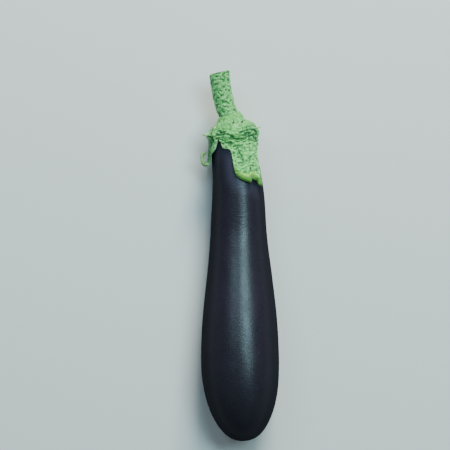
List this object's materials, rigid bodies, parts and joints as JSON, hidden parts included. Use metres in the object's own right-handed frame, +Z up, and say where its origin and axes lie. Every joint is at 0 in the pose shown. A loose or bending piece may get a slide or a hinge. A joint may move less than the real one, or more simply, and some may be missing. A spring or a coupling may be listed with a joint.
{
  "type": "eggplant",
  "caption": "Long violet-black eggplant lying on its side: glossy club-shaped fruit, lobed green calyx with prickles, and a short ribbed cut stem.",
  "frame": {"origin": "middle of the small flat spot that the fruit rests on, under its centre of mass", "axes": "+Z up, +Y along the fruit from the blossom end towards the stem, +X across it"},
  "size_m": [0.0595, 0.2741, 0.059],
  "materials": {
    "skin": "smooth waxy skin, glossy, almost black violet",
    "calyx": "matte wrinkled green leaf tissue with paler rims",
    "stem": "matte rough green stalk with a pale cut end"
  },
  "bodies": {
    "root": {"fruit": "skin", "calyx": "calyx", "stem": "stem"}
  },
  "joints": []
}
